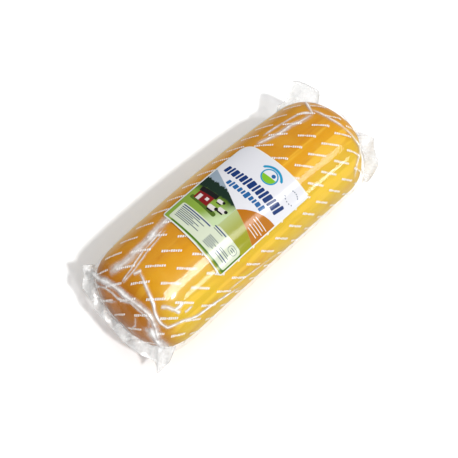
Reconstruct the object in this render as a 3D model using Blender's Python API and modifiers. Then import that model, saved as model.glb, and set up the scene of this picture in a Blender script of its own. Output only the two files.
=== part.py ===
"""Smoked pulled-curd cheese loaf, sealed in clear film with a paper label.

Metres, +Z up.  The loaf lies along Y and rests on Z = 0, its near end towards -Y.
The origin is the middle of the whole pack's footprint.  The sealed bag is one
closed solid: the film stands on the loaf, closes over both ends and runs out in a
flat, wavy heat seal at mid height.  The label is a thin curved plate on top of it.
"""

import math

import bmesh
import bpy
import numpy as np

# ---------------------------------------------------------------- dimensions

# Where the loaf's own middle lies: the tab reaches further out than the near seal.
LOAF_X = 0.0058
LOAF_Y = -0.0098

LOAF_WIDTH = 0.106
LOAF_HEIGHT = 0.0955
SECTION_POWER = 2.25        # superellipse power of the cross-section
REST_SINK = 0.0028          # how deep the round underside is pressed flat

# The barrel is bowed: towards both ends its section is drawn in, about its right foot.
BOW_MIDDLE = 0.010          # along Y, where it is fullest
BOW_REACH = 0.0975
BOW_SWELL = 0.0135          # share by which the middle is larger than the plain section
BOW_DRAW = 0.0270           # share that is lost over BOW_REACH

NEAR_SHOULDER = -0.0895     # along Y from the loaf's middle: the barrel runs between
FAR_SHOULDER = 0.1045       # the two shoulders

# Heat seals: each seal line's height, place and bow, and the half widths to its ears.
NEAR_SEAL_HEIGHT = 0.0475
FAR_SEAL_HEIGHT = 0.0455
FILM_EDGE = 0.0012          # thickness of the modelled seal where it leaves the end
NEAR_SEAL_Y = -0.1376       # seal line at the middle of the near end
NEAR_SEAL_BOW = 0.0200      # how far the ears lie back from it
NEAR_BOW_POWER = 2.5
NEAR_EAR_LEFT = 0.0520
NEAR_EAR_RIGHT = 0.0505
FAR_SEAL_Y = 0.1488
FAR_SEAL_BOW = 0.0330
FAR_BOW_POWER = 2.7
FAR_EAR_LEFT = 0.0560
FAR_EAR_RIGHT = 0.0560

# Free edges of the seals, from the left ear (-1) to the right ear (+1): place along
# the seal line, then x, y and z.  The far one has a square tab on its left.
NEAR_EDGE = (
    (-1.00, -0.0587, -0.1264, 0.0500), (-0.93, -0.0518, -0.1306, 0.0485),
    (-0.86, -0.0475, -0.1360, 0.0470), (-0.80, -0.0443, -0.1388, 0.0460),
    (-0.70, -0.0356, -0.1393, 0.0460), (-0.60, -0.0292, -0.1406, 0.0460),
    (-0.50, -0.0223, -0.1437, 0.0455), (-0.40, -0.0155, -0.1438, 0.0455),
    (-0.20, -0.0062, -0.1440, 0.0455), (0.00, 0.0034, -0.1444, 0.0455),
    (0.20, 0.0141, -0.1450, 0.0450), (0.40, 0.0232, -0.1441, 0.0445),
    (0.50, 0.0290, -0.1428, 0.0440), (0.60, 0.0356, -0.1413, 0.0420),
    (0.70, 0.0405, -0.1383, 0.0400), (0.76, 0.0450, -0.1365, 0.0380),
    (0.80, 0.0499, -0.1386, 0.0350), (0.825, 0.0518, -0.1417, 0.0330),
    (0.85, 0.0529, -0.1388, 0.0330), (0.90, 0.0524, -0.1332, 0.0340),
    (0.95, 0.0546, -0.1284, 0.0390), (1.00, 0.0530, -0.1225, 0.0450))
FAR_EDGE = (
    (-1.00, -0.0629, 0.1242, 0.0470), (-0.97, -0.0613, 0.1313, 0.0470),
    (-0.95, -0.0596, 0.1386, 0.0500), (-0.93, -0.0684, 0.1495, 0.0520),
    (-0.90, -0.0707, 0.1557, 0.0520), (-0.80, -0.0657, 0.1607, 0.0520),
    (-0.72, -0.0585, 0.1633, 0.0520), (-0.65, -0.0511, 0.1641, 0.0520),
    (-0.60, -0.0431, 0.1657, 0.0520), (-0.58, -0.0388, 0.1602, 0.0510),
    (-0.55, -0.0330, 0.1510, 0.0480), (-0.40, -0.0240, 0.1525, 0.0470),
    (-0.20, -0.0120, 0.1545, 0.0470), (0.00, 0.0000, 0.1548, 0.0470),
    (0.20, 0.0105, 0.1535, 0.0470), (0.26, 0.0132, 0.1545, 0.0470),
    (0.30, 0.0164, 0.1579, 0.0470), (0.37, 0.0222, 0.1585, 0.0470),
    (0.52, 0.0314, 0.1609, 0.0470), (0.60, 0.0367, 0.1544, 0.0470),
    (0.70, 0.0448, 0.1475, 0.0470), (0.78, 0.0502, 0.1446, 0.0470),
    (0.85, 0.0542, 0.1388, 0.0470), (0.90, 0.0562, 0.1321, 0.0460),
    (0.95, 0.0578, 0.1250, 0.0460), (1.00, 0.0582, 0.1190, 0.0460))
EDGE_SOFTNESS = 0.012       # rounds the edges' corners

# Superellipse powers of the ends' curve from shoulder to seal: beside the loaf, what
# is added towards the right (and taken off on the left), and over the crown.
NEAR_FULLNESS = (3.10, -0.35, 2.08)
FAR_FULLNESS = (2.35, -0.35, 2.32)

# Mesh fineness.
AROUND = 64                 # points round the bag, a multiple of four
FLAP_ROWS = 4
CAP_ROWS = 11
BARREL_ROWS = 8
WELD = 2e-6                 # points this close are one point
SHARP_ANGLE = math.radians(50)

# Label: arc position runs from the crown towards +X, the length along Y.
LABEL_LEFT = -0.0280
LABEL_RIGHT = 0.0472
LABEL_NEAR = -0.0566
LABEL_FAR = 0.0450
LABEL_ARCH = 0.0036         # how much further the far edge lies out on the right
LABEL_DROP = 0.0024         # and the near edge
LABEL_CORNER = 0.0035
LABEL_FAR_LEFT_CORNER = 0.0105
LABEL_THICKNESS = 0.0004
TOUCH_GAP = 0.0003          # clear gap between touching pieces
LABEL_COLUMNS = 24
LABEL_CORNER_ROWS = 5
LABEL_MIDDLE_ROWS = 8

# Folds that stand up from the film: the bead's radius, and its course over the
# bag as pairs (t, theta) of bag_point.
FOLDS = {
    "near_rim": (0.0013, [
        (1.12, 2.62), (1.250, 2.443), (1.370, 2.187), (1.455, 1.984), (1.490, 1.827),
        (1.505, 1.699), (1.500, 1.588), (1.515, 1.466), (1.550, 1.274), (1.555, 1.100),
        (1.525, 0.972), (1.440, 0.844), (1.300, 0.733)]),
    "near_crown": (0.0010, [
        (2.127, 1.81), (2.054, 1.77), (1.93, 1.73), (1.765, 1.69), (1.61, 1.70)]),
    "near_loop": (0.0009, [
        (1.815, 1.623), (1.745, 1.385), (1.685, 1.129), (1.630, 1.030), (1.585, 0.913),
        (1.560, 0.803), (1.565, 0.669), (1.695, 0.588), (1.815, 0.524), (2.017, 0.349),
        (2.083, 0.303), (2.175, 0.204), (2.25, 0.08)]),
    "far_crown": (0.0010, [(3.050, 1.716), (2.950, 1.751), (2.837, 1.809), (2.775, 1.862)]),
    "far_rim": (0.0011, [
        (3.24, 2.118), (3.12, 1.891), (3.08, 1.78), (3.13, 1.670), (3.155, 1.518),
        (3.195, 1.344), (3.215, 1.222), (3.255, 1.111), (3.285, 0.989), (3.375, 0.838),
        (3.375, 0.733), (3.135, 0.495), (2.996, 0.250)]),
}
FOLD_POINTS = 22            # points along each bead
FOLD_SINK = 0.0020          # how far a bead's ends dive under the film
BEAD_RESOLUTION = 1         # gives a bead of six sides


# ---------------------------------------------------------------- bag surface

def cross_section(theta):
    """Half-width share and height of the barrel's outline at an angle."""
    full_height = LOAF_HEIGHT + REST_SINK
    power = 2.0 / SECTION_POWER
    cosine = np.cos(theta)
    sine = np.sin(theta)
    x = np.sign(cosine) * np.abs(cosine) ** power * LOAF_WIDTH / 2
    z = np.sign(sine) * np.abs(sine) ** power * full_height / 2 + full_height / 2
    return x, np.maximum(z - REST_SINK, 0.0)


def drawn_in(x, z, y):
    """Size a place of the section by the barrel's bow, about its right foot."""
    scale = 1.0 + BOW_SWELL - BOW_DRAW * ((y - BOW_MIDDLE) / BOW_REACH) ** 2
    foot = LOAF_WIDTH / 2
    return foot + (x - foot) * scale, z * scale


def fullness(theta, powers):
    """Superellipse power of an end's curve at an angle."""
    side, lean, crown = powers
    beside = side + lean * np.cos(theta)
    return beside + (crown - beside) * np.sin(theta) ** 4


def seal(s, near):
    """The seal line and its free edge.  s runs from -1, left ear, to +1, right ear."""
    if near:
        half = np.where(s < 0, NEAR_EAR_LEFT, NEAR_EAR_RIGHT)
        y = NEAR_SEAL_Y + NEAR_SEAL_BOW * np.abs(s) ** NEAR_BOW_POWER
        z = NEAR_SEAL_HEIGHT + 0.0022 * np.sin(6.0 * s + 0.4) + 0.0010 * np.sin(15.0 * s)
        knots = np.array(NEAR_EDGE)
    else:
        half = np.where(s < 0, FAR_EAR_LEFT, FAR_EAR_RIGHT)
        y = FAR_SEAL_Y - FAR_SEAL_BOW * np.abs(s) ** FAR_BOW_POWER
        z = FAR_SEAL_HEIGHT + 0.0018 * np.sin(5.0 * s + 1.2) + 0.0010 * np.sin(13.0 * s)
        knots = np.array(FAR_EDGE)
    line = np.stack([half * s, y, z], axis=-1)
    edge = np.zeros_like(line)
    for step in (-EDGE_SOFTNESS, 0.0, EDGE_SOFTNESS):
        for axis in range(3):
            edge[..., axis] += np.interp(s + step, knots[:, 0], knots[:, 1 + axis]) / 3
    return line, edge


def bag_point(t, theta):
    """A point of the bag's outer face, relative to the loaf's middle.

    t: 0..1 near seal from its free edge, 1..2 near end, 2..3 barrel,
    3..4 far end, 4..5 far seal.  theta: 0 at +X, a quarter turn at the crown.
    """
    t, theta = np.broadcast_arrays(np.asarray(t, float), np.asarray(theta, float))
    near = t < 2.5
    pick = near[..., None]
    s = np.cos(theta)
    ring_x, ring_z = cross_section(theta)
    near_line, near_edge = seal(s, True)
    far_line, far_edge = seal(s, False)
    line = np.where(pick, near_line, far_line)
    edge = np.where(pick, near_edge, far_edge)
    shoulder = np.where(near, NEAR_SHOULDER, FAR_SHOULDER)

    # Barrel and ends: every line of the film runs along the barrel and curves from
    # the shoulder down to the seal.
    closed = np.where(near, 2.0 - t, t - 3.0)
    turn = np.clip(closed, 0.0, 1.0) * np.pi / 2
    power = np.where(near, fullness(theta, NEAR_FULLNESS), fullness(theta, FAR_FULLNESS))
    forward = np.sin(turn) ** (2.0 / power)
    inward = 1.0 - np.cos(turn) ** (2.0 / power)
    barrel_y = NEAR_SHOULDER + (FAR_SHOULDER - NEAR_SHOULDER) * np.clip(t - 2.0, 0.0, 1.0)
    y = np.where(closed > 0.0, shoulder + (line[..., 1] - shoulder) * forward, barrel_y)
    x, z = drawn_in(ring_x, ring_z, y)
    x = x + (line[..., 0] - x) * inward
    z = z + (line[..., 2] - z) * inward
    point = np.stack([x, y, z], axis=-1)

    # Seals: upper and lower face part by the film's thickness, and less outwards.
    out = np.clip(closed - 1.0, 0.0, 1.0)
    flap = line + (edge - line) * out[..., None]
    flap[..., 2] += 0.0016 * np.sin(np.pi * out) * np.sin(17.0 * s + np.where(near, 0.0, 1.5))
    point = np.where((closed > 1.0)[..., None], flap, point)
    half_film = FILM_EDGE / 2 * (1.0 - out) * np.sin(turn) ** 8
    point[..., 2] += half_film * np.sign(np.round(np.sin(theta), 9))
    return point


def bag_normal(t, theta):
    """Outward unit normal, from short steps along and round the bag."""
    step = 1e-4
    along = bag_point(t + step, theta) - bag_point(t - step, theta)
    around = bag_point(t, theta + step) - bag_point(t, theta - step)
    normal = np.cross(around, along)
    return -normal / np.linalg.norm(normal, axis=-1, keepdims=True)


def barrel_t(y):
    """The value of t at a distance along Y, on the straight barrel."""
    return 2.0 + (y - NEAR_SHOULDER) / (FAR_SHOULDER - NEAR_SHOULDER)


# ---------------------------------------------------------------- scene helpers

def clear_scene():
    """Start from an empty file."""
    for item in list(bpy.data.objects):
        bpy.data.objects.remove(item, do_unlink=True)


def make_collection(name):
    """A new collection under the scene's own."""
    collection = bpy.data.collections.new(name)
    bpy.context.scene.collection.children.link(collection)
    return collection


def make_material(name, colour, roughness):
    """A plain Principled material."""
    material = bpy.data.materials.new(name)
    material.use_nodes = True
    shader = material.node_tree.nodes["Principled BSDF"]
    shader.inputs["Base Color"].default_value = (*colour, 1.0)
    shader.inputs["Roughness"].default_value = roughness
    shader.inputs["Metallic"].default_value = 0.0
    material.diffuse_color = (*colour, 1.0)
    return material


def object_from_bmesh(bm, name, collection, material):
    """Give a finished bmesh its object, smooth where it is round."""
    bmesh.ops.recalc_face_normals(bm, faces=bm.faces)
    mesh = bpy.data.meshes.new(name)
    bm.to_mesh(mesh)
    bm.free()
    mesh.materials.append(material)
    mesh.shade_smooth()
    mesh.set_sharp_from_angle(angle=SHARP_ANGLE)
    item = bpy.data.objects.new(name, mesh)
    item.location = (LOAF_X, LOAF_Y, 0.0)
    collection.objects.link(item)
    return item


# ---------------------------------------------------------------- pieces

def split_alike(bm, rows, columns):
    """Cut each quad of a grid in two, the cuts mirrored from quarter to quarter.

    Upper and lower face of a thin seal are then cut along the same diagonals, and
    the cut at each corner of a seal runs to the corner's own point.
    """
    bm.verts.ensure_lookup_table()
    for row in range(rows - 1):
        for column in range(columns - 1):
            low = row * columns + column
            even_quarter = (4 * column // (columns - 1)) % 2 == 0
            if even_quarter == (row < rows / 2):
                first, last = low, low + columns + 1
            else:
                first, last = low + 1, low + columns
            ends = (bm.verts[first], bm.verts[last])
            face = next(f for f in ends[0].link_faces if ends[1] in f.verts)
            bmesh.utils.face_split(face, ends[0], ends[1])


def grid_of_points(points):
    """A grid primitive whose points are moved onto rows of given places."""
    rows, columns = points.shape[:2]
    bm = bmesh.new()
    bmesh.ops.create_grid(bm, x_segments=columns - 1, y_segments=rows - 1, size=1.0)
    bm.verts.sort(key=lambda v: round(v.co.y, 5) * 1000 + v.co.x)
    bm.verts.ensure_lookup_table()
    for vertex, place in zip(bm.verts, points.reshape(-1, 3)):
        vertex.co = place
    split_alike(bm, rows, columns)
    return bm


def bag_rows():
    """Values of t for the bag's rings, closest where it curves most."""
    return np.concatenate([
        np.linspace(0.0, 1.0, FLAP_ROWS, endpoint=False),
        np.linspace(1.0, 2.0, CAP_ROWS, endpoint=False),
        np.linspace(2.0, 3.0, BARREL_ROWS, endpoint=False),
        np.linspace(3.0, 4.0, CAP_ROWS, endpoint=False),
        np.linspace(4.0, 5.0, FLAP_ROWS + 1),
    ])


def make_bag(collection, material):
    """The sealed bag: a tube of rings, pressed flat and closed at both seals."""
    angles = np.linspace(0.0, 2 * np.pi, AROUND + 1)
    bm = grid_of_points(bag_point(bag_rows()[:, None], angles[None, :]))
    bmesh.ops.remove_doubles(bm, verts=bm.verts, dist=WELD)
    return object_from_bmesh(bm, "film_pack", collection, material)


def fold_course(course):
    """Points of a fold: a smooth line over the film whose ends dive under it."""
    knots = np.linspace(0.0, 1.0, len(course))
    share = np.linspace(0.0, 1.0, FOLD_POINTS)
    t = np.interp(share, knots, [pair[0] for pair in course])
    theta = np.interp(share, knots, [pair[1] for pair in course])
    smooth = np.array([1.0, 2.0, 1.0]) / 4
    t[1:-1] = np.convolve(t, smooth, "valid")
    theta[1:-1] = np.convolve(theta, smooth, "valid")
    places = bag_point(t, theta)
    normals = bag_normal(t, theta)
    places[0] -= FOLD_SINK * normals[0]
    places[-1] -= FOLD_SINK * normals[-1]
    return places


def make_fold(name, radius, course, collection):
    """One fold as a closed bead: a bevelled curve made a mesh."""
    curve = bpy.data.curves.new(name, "CURVE")
    curve.dimensions = "3D"
    curve.bevel_depth = radius
    curve.bevel_resolution = BEAD_RESOLUTION
    curve.use_fill_caps = True
    spline = curve.splines.new("POLY")
    spline.points.add(FOLD_POINTS - 1)
    for point, place in zip(spline.points, fold_course(course)):
        point.co = (*place, 1.0)
    item = bpy.data.objects.new(name, curve)
    item.location = (LOAF_X, LOAF_Y, 0.0)
    collection.objects.link(item)
    bpy.context.view_layer.update()
    evaluated = item.evaluated_get(bpy.context.evaluated_depsgraph_get())
    mesh = bpy.data.meshes.new_from_object(evaluated)
    bm = bmesh.new()
    bm.from_mesh(mesh)
    bmesh.ops.remove_doubles(bm, verts=bm.verts, dist=WELD)
    bmesh.ops.recalc_face_normals(bm, faces=bm.faces)
    bm.to_mesh(mesh)
    bm.free()
    bead = bpy.data.objects.new(name + "_bead", mesh)
    bead.matrix_world = item.matrix_world.copy()
    collection.objects.link(bead)
    bpy.data.objects.remove(item, do_unlink=True)
    return bead


def fuse(target, collection):
    """Join every object of a collection to the target, then remove them."""
    union = target.modifiers.new("folds", "BOOLEAN")
    union.operation = "UNION"
    union.operand_type = "COLLECTION"
    union.collection = collection
    union.solver = "EXACT"
    bpy.context.view_layer.update()
    evaluated = target.evaluated_get(bpy.context.evaluated_depsgraph_get())
    mesh = bpy.data.meshes.new_from_object(evaluated)
    target.modifiers.remove(union)
    target.data = mesh
    mesh.shade_smooth()
    mesh.set_sharp_from_angle(angle=SHARP_ANGLE)
    for item in list(collection.objects):
        bpy.data.objects.remove(item, do_unlink=True)


def arc_table():
    """Angle and arc position round the upper barrel, from the crown to +X."""
    theta = np.linspace(0.0, np.pi, 2001)
    x, z = cross_section(theta)
    run = np.append(0.0, np.cumsum(np.hypot(np.diff(x), np.diff(z))))
    return theta, run[len(run) // 2] - run


def corner_inset(distance, radius):
    """How far a rounded corner stands back at a distance from the label's end."""
    into = np.clip(radius - distance, 0.0, radius)
    return radius - np.sqrt(radius ** 2 - into ** 2)


def make_label(collection, material):
    """The label: rows clipped to a round-cornered outline, laid on the film."""
    turn = np.linspace(0.0, np.pi / 2, LABEL_CORNER_ROWS + 1)
    near_rows = LABEL_NEAR + LABEL_CORNER * (1 - np.cos(turn))
    far_rows = LABEL_FAR - LABEL_FAR_LEFT_CORNER * (1 - np.cos(turn))
    middle = np.linspace(near_rows[-1], far_rows[-1], LABEL_MIDDLE_ROWS + 2)[1:-1]
    y = np.concatenate([near_rows, middle, far_rows[::-1]])
    near_gap = y - LABEL_NEAR
    far_gap = LABEL_FAR - y
    left = LABEL_LEFT + corner_inset(near_gap, LABEL_CORNER)
    left += corner_inset(far_gap, LABEL_FAR_LEFT_CORNER)
    right = LABEL_RIGHT - corner_inset(near_gap, LABEL_CORNER)
    right -= corner_inset(far_gap, LABEL_CORNER)
    share = np.linspace(0.0, 1.0, LABEL_COLUMNS + 1)
    arc = left[:, None] + (right - left)[:, None] * share[None, :]
    lift = LABEL_ARCH * np.clip(y / LABEL_FAR, 0.0, 1.0)
    lift -= LABEL_DROP * np.clip(y / LABEL_NEAR, 0.0, 1.0)
    across = (arc - LABEL_LEFT) / (LABEL_RIGHT - LABEL_LEFT)
    place_y = y[:, None] + lift[:, None] * across
    angle, run = arc_table()
    theta = np.interp(arc, run[::-1], angle[::-1])
    t = barrel_t(place_y)
    points = bag_point(t, theta) + TOUCH_GAP * bag_normal(t, theta)
    label = object_from_bmesh(grid_of_points(points), "label", collection, material)
    plate = label.modifiers.new("thickness", "SOLIDIFY")
    plate.thickness = LABEL_THICKNESS
    plate.offset = 1.0
    return label


clear_scene()
pack = make_collection("smoked_scamorza")
beads = make_collection("fold_beads")
amber = make_material("film_over_cheese", (0.80, 0.42, 0.06), 0.25)
paper = make_material("label_paper", (0.90, 0.91, 0.90), 0.30)

bag = make_bag(pack, amber)
for fold, (bead_radius, bead_course) in FOLDS.items():
    make_fold(fold, bead_radius, bead_course, beads)
fuse(bag, beads)
make_label(pack, paper)
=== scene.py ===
import math

import bpy
import numpy as np
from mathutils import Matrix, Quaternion, Vector


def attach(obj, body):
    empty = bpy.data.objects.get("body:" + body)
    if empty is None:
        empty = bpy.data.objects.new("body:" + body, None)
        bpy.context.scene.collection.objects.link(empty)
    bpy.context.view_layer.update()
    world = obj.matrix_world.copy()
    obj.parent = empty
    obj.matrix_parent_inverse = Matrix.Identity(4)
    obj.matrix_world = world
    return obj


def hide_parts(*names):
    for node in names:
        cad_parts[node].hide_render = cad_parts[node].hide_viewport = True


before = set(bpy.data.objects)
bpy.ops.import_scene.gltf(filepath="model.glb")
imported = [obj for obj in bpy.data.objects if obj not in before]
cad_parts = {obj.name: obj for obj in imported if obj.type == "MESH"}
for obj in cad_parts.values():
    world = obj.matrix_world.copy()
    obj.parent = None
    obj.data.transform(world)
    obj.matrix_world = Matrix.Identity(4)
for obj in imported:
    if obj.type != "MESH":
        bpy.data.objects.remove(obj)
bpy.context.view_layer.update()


# ---- Table, light and camera -------------------------------------------------
# The pack lies on a plain pale table in a pale room.  A far lamp on the right throws
# its shadow, and four strips on that side are there for the gloss alone.

LOAF_X = 0.0058             # where the loaf's own middle lies on the table
LOAF_Y = -0.0098
TABLE_SIZE = 8.0
TABLE_WHITE = 0.90
TABLE_MIRRORED = 0.42       # what gloss mirrors of the table
ROOM_WHITE = (0.985, 0.99, 1.0, 1.0)
ROOM_DIM = 0.92             # the room's light from the left, and from the right
ROOM_BRIGHT = 1.08
ROOM_HORIZON = 0.45         # share of that light which comes from the horizon
ROOM_NEAR = 0.38            # and from the near side
ROOM_BEHIND = 0.92          # how pale it looks behind the pack
MIRRORED_DIM = 0.09         # what gloss mirrors of the room, from left and from right
MIRRORED_BRIGHT = 0.55
KEY_SLANT = 0.79            # how far the far lamp's light moves left for each unit down
KEY_ANGLE = 3.6             # degrees: how large that lamp looks from the pack
KEY_STRENGTH = 2.35
STRIP_LAMPS = {
    # name: distance right of the loaf, height, width, length, middle along Y, turn, watts
    "high_near_strip": (0.679, 1.282, 0.38, 0.820, -0.050, -12.0, 12.5),
    "high_far_strip": (0.813, 1.191, 0.28, 0.746, 0.715, -12.0, 4.4),
    "low_near_strip": (1.105, 0.698, 0.18, 0.245, 0.215, -20.0, 1.5),
    "low_far_strip": (1.233, 0.510, 0.18, 0.298, 0.840, -20.0, 1.8),
}
LAMP_AIM = Vector((0.0245, 0.0, 0.08))      # the crown's right side
CAMERA_TURN = 45.19         # degrees: round the loaf from its near end, and up
CAMERA_RISE = 60.48
CAMERA_DISTANCE = 0.6016
CAMERA_AIM_HEIGHT = 0.045
CAMERA_SHIFT_RIGHT = -0.0042
CAMERA_SHIFT_UP = -0.0069
FOCAL_PIXELS = 665.4
PICTURE_PIXELS = 458
SENSOR_WIDTH = 36.0


def deselect():
    """Leave nothing selected."""
    for item in bpy.context.selected_objects:
        item.select_set(False)


def activate(item):
    """Make one object the selected and active one."""
    deselect()
    item.select_set(True)
    bpy.context.view_layer.objects.active = item


def new_material(name):
    """An empty node material, with its tree and output."""
    material = bpy.data.materials.new(name)
    material.use_nodes = True
    tree = material.node_tree
    tree.nodes.clear()
    output = tree.nodes.new("ShaderNodeOutputMaterial")
    return material, tree, output


def add_node(tree, kind, settings=None, **inputs):
    """Add a node, set its properties and feed or set its inputs.

    An input's name is written with underscores, or as i0, i1 ... for its place.
    """
    node = tree.nodes.new(kind)
    for key, value in (settings or {}).items():
        setattr(node, key, value)
    for key, value in inputs.items():
        if key[0] == "i" and key[1:].isdigit():
            socket = node.inputs[int(key[1:])]
        else:
            socket = node.inputs[key.replace("_", " ")]
        if isinstance(value, bpy.types.NodeSocket):
            tree.links.new(value, socket)
        else:
            socket.default_value = value
    return node


def ramp(tree, value, start, end, first=0.0, last=1.0, smooth=False):
    """Carry a value's run from start to end over to first to last, held beyond them."""
    settings = {"interpolation_type": "SMOOTHSTEP" if smooth else "LINEAR"}
    return add_node(
        tree, "ShaderNodeMapRange", settings,
        i0=value, i1=start, i2=end, i3=first, i4=last).outputs[0]


def calc(tree, operation, *values, clamp=False):
    """One Math node and its result."""
    inputs = {f"i{place}": value for place, value in enumerate(values)}
    settings = {"operation": operation, "use_clamp": clamp}
    return add_node(tree, "ShaderNodeMath", settings, **inputs).outputs[0]


def blend(tree, share, first, second):
    """Mix two colours by a share."""
    return add_node(
        tree, "ShaderNodeMix", {"data_type": "RGBA"}, i0=share, i6=first, i7=second).outputs[2]


deselect()
bpy.ops.mesh.primitive_plane_add(size=TABLE_SIZE)
table = bpy.context.active_object
table.name = "table"
material, tree, output = new_material("pale_table")
path = tree.nodes.new("ShaderNodeLightPath")
tone = calc(
    tree, "MULTIPLY_ADD", path.outputs["Is Glossy Ray"], TABLE_MIRRORED - TABLE_WHITE, TABLE_WHITE)
shader = add_node(
    tree, "ShaderNodeBsdfPrincipled", Base_Color=tone, Roughness=0.85, Specular_IOR_Level=0.1)
tree.links.new(shader.outputs[0], output.inputs[0])
table.data.materials.append(material)

room = bpy.data.worlds.new("pale_room")
room.use_nodes = True
bpy.context.scene.world = room
tree = room.node_tree
tree.nodes.clear()
output = tree.nodes.new("ShaderNodeOutputWorld")
path = tree.nodes.new("ShaderNodeLightPath")
direction = add_node(
    tree, "ShaderNodeSeparateXYZ", i0=tree.nodes.new("ShaderNodeTexCoord").outputs["Generated"])
to_right = ramp(tree, direction.outputs[0], -0.3, 0.9, smooth=True)
to_zenith = ramp(tree, direction.outputs[2], 0.0, 0.6, ROOM_HORIZON, 1.0, smooth=True)
from_near = ramp(tree, direction.outputs[1], -0.9, 0.0, ROOM_NEAR, 1.0, smooth=True)
strength = calc(tree, "MULTIPLY_ADD", to_right, ROOM_BRIGHT - ROOM_DIM, ROOM_DIM)
strength = calc(tree, "MULTIPLY", strength, to_zenith)
strength = calc(tree, "MULTIPLY", strength, from_near)
mirrored = calc(tree, "MULTIPLY_ADD", to_right, MIRRORED_BRIGHT - MIRRORED_DIM, MIRRORED_DIM)
whole = add_node(tree, "ShaderNodeBackground", Color=ROOM_WHITE, Strength=strength)
for ray, strength in (("Is Glossy Ray", mirrored), ("Is Camera Ray", ROOM_BEHIND)):
    other = add_node(tree, "ShaderNodeBackground", Color=ROOM_WHITE, Strength=strength)
    whole = add_node(
        tree, "ShaderNodeMixShader", i0=path.outputs[ray], i1=whole.outputs[0], i2=other.outputs[0])
tree.links.new(whole.outputs[0], output.inputs[0])


def hang_lamp(name, place, sizes, turn, watts):
    """Hang a rectangular lamp that faces the pack, its first size along Y before a turn."""
    lamp = bpy.data.lights.new(name, "AREA")
    lamp.shape = "RECTANGLE"
    lamp.size = sizes[0]
    lamp.size_y = sizes[1]
    lamp.energy = watts
    holder = bpy.data.objects.new(name, lamp)
    holder.location = place
    away = Vector((place[0], 0.0, place[2])) - LAMP_AIM
    facing = away.to_track_quat("Z", "Y")
    facing.rotate(Quaternion(away, math.radians(turn)))
    holder.rotation_euler = facing.to_euler()
    bpy.context.scene.collection.objects.link(holder)
    return holder


key = bpy.data.lights.new("key", "SUN")
key.angle = math.radians(KEY_ANGLE)
key.energy = KEY_STRENGTH
key_holder = bpy.data.objects.new("key", key)
key_holder.rotation_euler = Vector((KEY_SLANT, 0.0, 1.0)).to_track_quat("Z", "Y").to_euler()
bpy.context.scene.collection.objects.link(key_holder)
for name, (right, height, width, length, middle, turn, watts) in STRIP_LAMPS.items():
    strip = hang_lamp(name, (LOAF_X + right, middle, height), (length, width), turn, watts)
    strip.visible_diffuse = False

turn = math.radians(CAMERA_TURN)
rise = math.radians(CAMERA_RISE)
back = Vector((
    math.sin(turn) * math.cos(rise),
    -math.cos(turn) * math.cos(rise),
    math.sin(rise)))
right = Vector((math.cos(turn), math.sin(turn), 0.0))
up = back.cross(right)
lens = bpy.data.cameras.new("camera")
lens.sensor_width = SENSOR_WIDTH
lens.lens = SENSOR_WIDTH * FOCAL_PIXELS / PICTURE_PIXELS
camera = bpy.data.objects.new("camera", lens)
camera.location = (
    Vector((LOAF_X, LOAF_Y, CAMERA_AIM_HEIGHT)) + back * CAMERA_DISTANCE
    + right * CAMERA_SHIFT_RIGHT + up * CAMERA_SHIFT_UP)
camera.rotation_mode = "QUATERNION"
camera.rotation_quaternion = (-back).to_track_quat("-Z", "Y")
bpy.context.scene.collection.objects.link(camera)
bpy.context.scene.camera = camera
bpy.context.scene.view_settings.view_transform = "Standard"


# ---- Cheese loaf -------------------------------------------------------------
# A loaf of stretched curd, shaped in a round-ended mould and smoked: a thin amber
# rind with faint streaks along it and shallow dents.  Light is painted into its colour:
# lighter and yellower towards the lamps on the right, with painted highlight streaks there,
# a pale left flank as painted sheen, and a darker, browner near end as painted shade.

LOAF_WIDTH = 0.106
LOAF_HEIGHT = 0.0955
SECTION_POWER = 2.25
REST_SINK = 0.0028
BOW_MIDDLE = 0.010          # along Y, where the barrel is fullest
BOW_REACH = 0.0975
BOW_SWELL = 0.0135          # share by which the middle is larger than the plain section
BOW_DRAW = 0.0270           # share that is lost over the reach
NEAR_SHOULDER = -0.0895
FAR_SHOULDER = 0.1045
LOAF_INSET = 0.0008         # the film's distance from the rind
LOAF_NEAR_TIP = -0.1348
LOAF_FAR_TIP = 0.1465
LOAF_TIP_HEIGHT = 0.0488
# An end's fullness beside it, how much less on the right, and over the crown.
LOAF_NEAR_FULLNESS = (3.05, -0.45, 2.00)
LOAF_FAR_FULLNESS = (2.20, -0.32, 2.25)
RIGHT_TUCK = 0.0030         # the film hangs free of the rind low on the right
LOAF_COLUMNS = 192
LOAF_RINGS = 200
DENT_DEPTH = 0.0004


def lattice_noise(places, size, seed):
    """Smooth noise from -1 to 1 at each place, with features of the given size."""
    draw = np.random.default_rng(seed)
    values = draw.uniform(-1.0, 1.0, 4096)
    shuffle = draw.permutation(4096)
    cell = places / size + 1000.0
    low = np.floor(cell).astype(np.int64)
    part = cell - low
    part = part * part * part * (part * (part * 6 - 15) + 10)
    total = np.zeros(places.shape[:-1])
    for corner in range(8):
        step = np.array([corner & 1, corner >> 1 & 1, corner >> 2 & 1])
        spot = low + step
        key = shuffle[(spot[..., 1] + shuffle[spot[..., 2] % 4096]) % 4096]
        key = shuffle[(spot[..., 0] + key) % 4096]
        weight = np.prod(np.where(step == 1, part, 1.0 - part), axis=-1)
        total += weight * values[key]
    return total


def cross_section(theta):
    """Sideways place and height of the barrel's outline at an angle."""
    full_height = LOAF_HEIGHT + REST_SINK
    power = 2.0 / SECTION_POWER
    cosine = np.cos(theta)
    sine = np.sin(theta)
    x = np.sign(cosine) * np.abs(cosine) ** power * LOAF_WIDTH / 2
    z = np.sign(sine) * np.abs(sine) ** power * full_height / 2 + full_height / 2
    return x, np.maximum(z - REST_SINK, 0.0)


def drawn_in(x, z, y):
    """Size a place of the section by the barrel's bow, about its right foot."""
    scale = 1.0 + BOW_SWELL - BOW_DRAW * ((y - BOW_MIDDLE) / BOW_REACH) ** 2
    foot = LOAF_WIDTH / 2
    return foot + (x - foot) * scale, z * scale


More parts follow.
